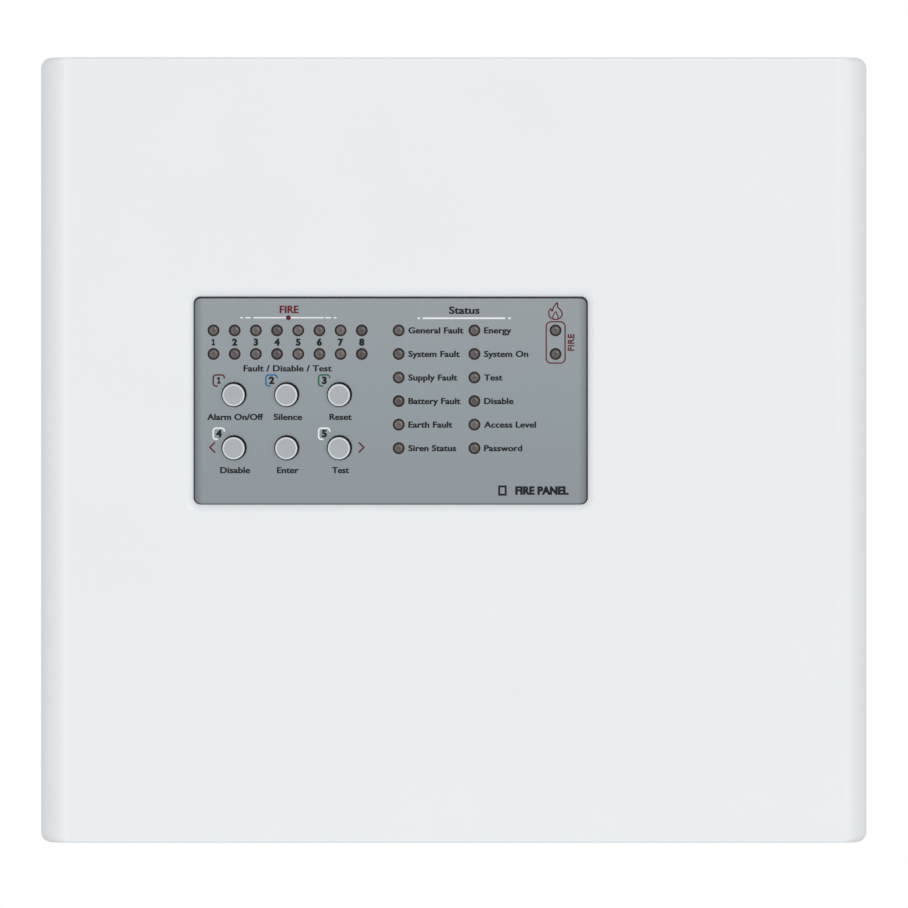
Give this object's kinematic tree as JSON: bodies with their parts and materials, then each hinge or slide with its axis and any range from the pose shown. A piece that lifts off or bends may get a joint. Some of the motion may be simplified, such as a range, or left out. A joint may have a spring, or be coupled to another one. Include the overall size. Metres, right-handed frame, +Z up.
{
  "type": "fire alarm control panel",
  "caption": "Wall-mounted fire alarm control panel: shallow box with hinged front cover, recessed grey display with indicator lights and push buttons, boards and batteries inside.",
  "frame": {"origin": "middle of the back face, on the wall", "axes": "+X to the right as seen from the front, +Y out of the back into the wall, +Z up; the front faces -Y"},
  "size_m": [0.32, 0.088, 0.304],
  "materials": {
    "cover_plastic": "satin moulded off-white plastic",
    "base_plastic": "fine-grained off-white plastic",
    "fascia_plastic": "plain grey plastic",
    "overlay_film": "matt printed film",
    "button_plastic": "smooth pale grey plastic with a polished bevel",
    "led_lens": "smoky tinted epoxy",
    "steel": "bright zinc",
    "cage_steel": "plain zinc-coated sheet",
    "circuit_board": "green solder mask",
    "terminal_green": "moulded",
    "black_plastic": "moulded",
    "battery_case": "moulded, slightly grained",
    "transformer_tape": "smooth yellow tape",
    "rubber_black": "matt",
    "wire_red": "PVC insulation",
    "wire_black": "PVC insulation",
    "ribbon_grey": "ribbed flat cable"
  },
  "bodies": {
    "base": {"base_box": "base_plastic", "hinge_pin_upper": "steel", "hinge_pin_lower": "steel", "cable_grommet": "rubber_black", "main_socket": "black_plastic", "ribbon_cable": "ribbon_grey", "main_board": "circuit_board", "main_board_screw_1": "steel", "main_board_screw_2": "steel", "main_board_screw_3": "steel", "main_board_screw_4": "steel", "zone_terminals": "terminal_green", "siren_terminals": "terminal_green", "battery_terminals": "terminal_green", "fire_relay": "black_plastic", "fault_relay": "black_plastic", "microcontroller": "black_plastic", "power_supply_base": "cage_steel", "power_supply_board": "circuit_board", "power_supply_transformer": "transformer_tape", "power_supply_cage": "cage_steel", "power_supply_terminals": "black_plastic", "mains_fuse_block": "black_plastic", "battery_left": "battery_case", "battery_right": "battery_case", "battery_link": "wire_red", "battery_lead_black": "wire_black", "battery_lead_red": "wire_red", "dc_lead": "wire_black", "mains_lead": "wire_black"},
    "cover": {"front_cover": "cover_plastic", "fascia_plate": "fascia_plastic", "label_overlay": "overlay_film", "alarm_switch": "black_plastic", "silence_switch": "black_plastic", "reset_switch": "black_plastic", "disable_switch": "black_plastic", "enter_switch": "black_plastic", "test_switch": "black_plastic", "zone_fire_leds": "led_lens", "zone_fault_leds": "led_lens", "status_leds_left": "led_lens", "status_leds_right": "led_lens", "fire_leds": "led_lens", "display_board": "circuit_board", "display_board_screw_1": "steel", "display_board_screw_2": "steel", "display_board_screw_3": "steel", "display_board_screw_4": "steel", "buzzer": "black_plastic", "display_socket": "black_plastic"},
    "alarm_button": {"alarm_button": "button_plastic"},
    "silence_button": {"silence_button": "button_plastic"},
    "reset_button": {"reset_button": "button_plastic"},
    "disable_button": {"disable_button": "button_plastic"},
    "enter_button": {"enter_button": "button_plastic"},
    "test_button": {"test_button": "button_plastic"},
    "cover_lock_upper": {"cover_lock_upper": "steel"},
    "cover_lock_lower": {"cover_lock_lower": "steel"},
    "fuse_carrier": {"fuse_carrier": "black_plastic"}
  },
  "joints": [
    {"name": "cover_hinge", "type": "hinge", "parent": "base", "child": "cover", "pos_m": [-0.1545, -0.0485, 0], "axis": [0, 0, -1], "range_deg": [0, 105], "deforming": ["ribbon_cable"]},
    {"name": "alarm_press", "type": "slide", "parent": "cover", "child": "alarm_button", "axis": [0, 1, 0], "range_m": [0, 0.0006], "stiffness_N_per_m": 500},
    {"name": "silence_press", "type": "slide", "parent": "cover", "child": "silence_button", "axis": [0, 1, 0], "range_m": [0, 0.0006], "stiffness_N_per_m": 500},
    {"name": "reset_press", "type": "slide", "parent": "cover", "child": "reset_button", "axis": [0, 1, 0], "range_m": [0, 0.0006], "stiffness_N_per_m": 500},
    {"name": "disable_press", "type": "slide", "parent": "cover", "child": "disable_button", "axis": [0, 1, 0], "range_m": [0, 0.0006], "stiffness_N_per_m": 500},
    {"name": "enter_press", "type": "slide", "parent": "cover", "child": "enter_button", "axis": [0, 1, 0], "range_m": [0, 0.0006], "stiffness_N_per_m": 500},
    {"name": "test_press", "type": "slide", "parent": "cover", "child": "test_button", "axis": [0, 1, 0], "range_m": [0, 0.0006], "stiffness_N_per_m": 500},
    {"name": "lock_upper_turn", "type": "hinge", "parent": "cover", "child": "cover_lock_upper", "pos_m": [0.157, -0.058, 0.11], "axis": [1, 0, 0], "range_deg": [0, 90]},
    {"name": "lock_lower_turn", "type": "hinge", "parent": "cover", "child": "cover_lock_lower", "pos_m": [0.157, -0.058, -0.035], "axis": [1, 0, 0], "range_deg": [0, 90]},
    {"name": "fuse_tip", "type": "hinge", "parent": "base", "child": "fuse_carrier", "pos_m": [0.098, -0.019, 0.115], "axis": [1, 0, 0], "range_deg": [0, 80]}
  ]
}
